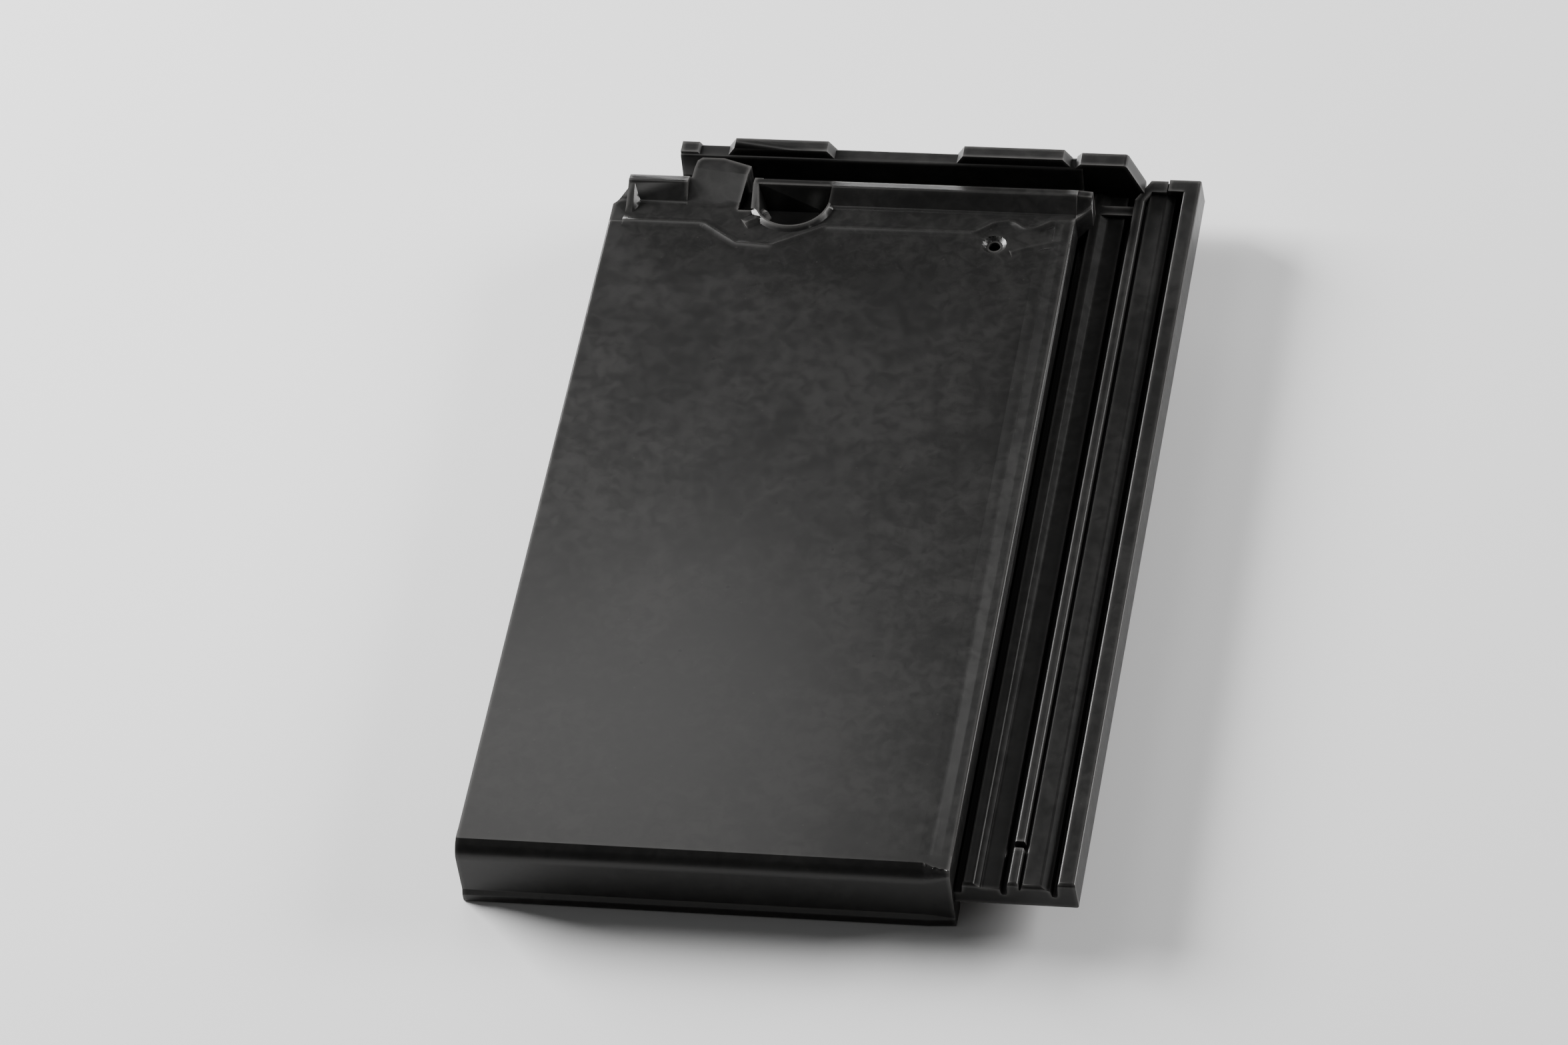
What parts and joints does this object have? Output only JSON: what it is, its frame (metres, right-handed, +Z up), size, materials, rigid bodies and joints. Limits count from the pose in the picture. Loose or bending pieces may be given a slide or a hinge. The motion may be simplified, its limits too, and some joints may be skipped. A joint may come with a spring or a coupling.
{
  "type": "interlocking flat clay roof tile",
  "caption": "Flat clay roof tile with a thick rounded nose, a grooved side lock, raised head ribs, hanging lugs and a nail hole.",
  "frame": {"origin": "centre of the bounding box's bottom face, on the level the nose and the lugs stand on", "axes": "+Z up through the weather face, +X towards the side lock, +Y up the slope towards the head"},
  "size_m": [0.2658, 0.42, 0.044],
  "materials": {
    "clay": "semi-matt black engobe on fired clay"
  },
  "bodies": {
    "root": {"roof_tile": "clay"}
  },
  "joints": []
}
